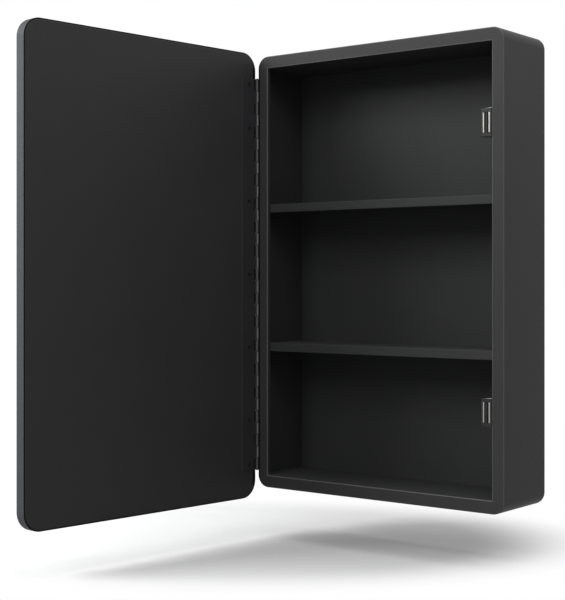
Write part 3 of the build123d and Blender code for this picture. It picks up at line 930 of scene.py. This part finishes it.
def fibreboard(name, colours, fibre_mm, rough=0.85):
    """Pressed wood fibre or kraft paper: a warm brown felt of short fibres, quite matt."""
    material, tree = new_material(name)
    place = put(tree, "ShaderNodeTexCoord").outputs["Object"]
    fibres = put(tree, "ShaderNodeTexNoise",
                 {"Vector": place, "Scale": 1000 / fibre_mm, "Detail": 5.0, "Roughness": 0.7,
                  "Distortion": 1.2})
    tint = put(tree, "ShaderNodeMix",
               {0: fibres.outputs["Fac"], 6: linear(colours[0]), 7: linear(colours[1])}, data_type="RGBA")
    bump = put(tree, "ShaderNodeBump",
               {"Strength": 0.4, "Distance": 0.1 * mm, "Height": fibres.outputs["Fac"]})
    shader = put(tree, "ShaderNodeBsdfPrincipled",
                 {"Base Color": tint.outputs[2], "Roughness": rough, "Normal": bump.outputs[0]})
    put(tree, "ShaderNodeOutputMaterial", {"Surface": shader.outputs[0]})
    return material


dress(zinc_plate, "hinge_backing_strip")
dress(fibreboard("kraft_paper_honeycomb", ("#A88A60", "#C2A478"), 1.5), "door_core")
dress(fibreboard("smooth_hardboard", ("#6B4A2E", "#8A6442"), 0.8, 0.7), "mirror_board")


# Studio.
# Not part of the object: a white room with a floor under the hung cabinet, soft boxes and the camera.

def seen(tree):
    """1 for what the eye sees, straight or in a reflection or through glass, and 0 for light."""
    ray = put(tree, "ShaderNodeLightPath").outputs
    direct = put(tree, "ShaderNodeMath", {0: ray["Is Camera Ray"], 1: ray["Is Glossy Ray"]},
                 operation="MAXIMUM")
    return put(tree, "ShaderNodeMath", {0: direct.outputs[0], 1: ray["Is Transmission Ray"]},
               operation="MAXIMUM").outputs[0]


def studio_floor(low_z, half, middle, turn, reach):
    """White floor that keeps the object's shadow. The eye and reflections see it run out to plain white
    past an oval under the object, given by its middle, turn and half lengths, and it throws little light
    back up."""
    mesh = bpy.data.meshes.new("studio_floor")
    corners = [(x, y, low_z) for x, y in ((-half, -half), (half, -half), (half, half), (-half, half))]
    mesh.from_pydata(corners, [], [(0, 1, 2, 3)])
    floor = bpy.data.objects.new("studio_floor", mesh)
    bpy.context.scene.collection.objects.link(floor)
    material, tree = new_material("white_floor")
    place = put(tree, "ShaderNodeTexCoord").outputs["Object"]
    oval = put(tree, "ShaderNodeMapping",
               {"Vector": place, "Location": (middle[0], middle[1], low_z),
                "Rotation": (0, 0, math.radians(turn)), "Scale": (reach[0], reach[1], 1)},
               vector_type="TEXTURE")
    away = put(tree, "ShaderNodeVectorMath", {0: oval.outputs[0]}, operation="LENGTH").outputs["Value"]
    run_out = put(tree, "ShaderNodeMapRange", {"Value": away, "From Min": 1.0, "From Max": 1.6},
                  interpolation_type="SMOOTHSTEP")
    grey = put(tree, "ShaderNodeBsdfDiffuse", {"Color": linear("#8A8A8A")})
    lit = put(tree, "ShaderNodeBsdfDiffuse", {"Color": linear("#ECECEC")})
    plain = put(tree, "ShaderNodeEmission", {"Color": linear("#FFFFFF"), "Strength": 1.0})
    near = put(tree, "ShaderNodeMixShader", {0: run_out.outputs[0], 1: lit.outputs[0], 2: plain.outputs[0]})
    shown = put(tree, "ShaderNodeMixShader", {0: seen(tree), 1: grey.outputs[0], 2: near.outputs[0]})
    put(tree, "ShaderNodeOutputMaterial", {"Surface": shown.outputs[0]})
    mesh.materials.append(material)


lamps_aim = Vector((0.0, -0.1, -0.27))


def soft_box(name, place, side, watts):
    """A square white lamp at a place, aimed at the middle of the cabinet."""
    lamp = bpy.data.lights.new(name, "AREA")
    lamp.shape = "SQUARE"
    lamp.size = side
    lamp.energy = watts
    holder = bpy.data.objects.new(name, lamp)
    holder.location = place
    holder.rotation_euler = (lamps_aim - Vector(place)).to_track_quat("-Z", "Y").to_euler()
    bpy.context.scene.collection.objects.link(holder)


floor_drop = 0.065
floor_half = 12.0
oval_middle = (-0.27, -0.17)
oval_turn = 38
oval_reach = (0.4, 0.26)
studio_floor(cad_box[0][2] - floor_drop, floor_half, oval_middle, oval_turn, oval_reach)
soft_box("key_box", (-1.9, -2.6, 1.5), 1.6, 92)
soft_box("front_box", (0.2, -3.0, 1.6), 1.6, 23)
soft_box("left_box", (-2.4, -1.6, 0.6), 1.6, 20)
soft_box("top_box", (0.0, -0.2, 1.6), 1.0, 9)
soft_box("corner_box", (0.6, -0.8, 0.75), 0.6, 3)
soft_box("rim_box", (1.7, 1.6, 1.0), 1.6, 11)

fill_strength = 0.34
world = bpy.data.worlds.new("white_room")
world.use_nodes = True
sky = world.node_tree
sky.nodes.clear()
fill_light = put(sky, "ShaderNodeBackground", {"Color": linear("#FFFFFF"), "Strength": fill_strength})
white_room = put(sky, "ShaderNodeBackground", {"Color": linear("#FFFFFF"), "Strength": 1.0})
blend = put(sky, "ShaderNodeMixShader", {0: seen(sky), 1: fill_light.outputs[0], 2: white_room.outputs[0]})
put(sky, "ShaderNodeOutputWorld", {"Surface": blend.outputs[0]})
bpy.context.scene.world = world

# The camera stands level, as far off as the photograph's straight edges say, and its lens is shifted down
# a little.
camera_place = (1.1428, -1.7963, -0.2851)
camera_turn = 38.195
lens_mm = 85.444
lens_shift = -0.0331
camera = bpy.data.objects.new("camera", bpy.data.cameras.new("camera"))
camera.location = camera_place
camera.rotation_euler = (math.radians(90), 0, math.radians(camera_turn))
camera.data.sensor_fit = "HORIZONTAL"
camera.data.sensor_width = 36
camera.data.lens = lens_mm
camera.data.shift_y = lens_shift
bpy.context.scene.collection.objects.link(camera)
bpy.context.scene.camera = camera
bpy.context.scene.view_settings.view_transform = "Standard"
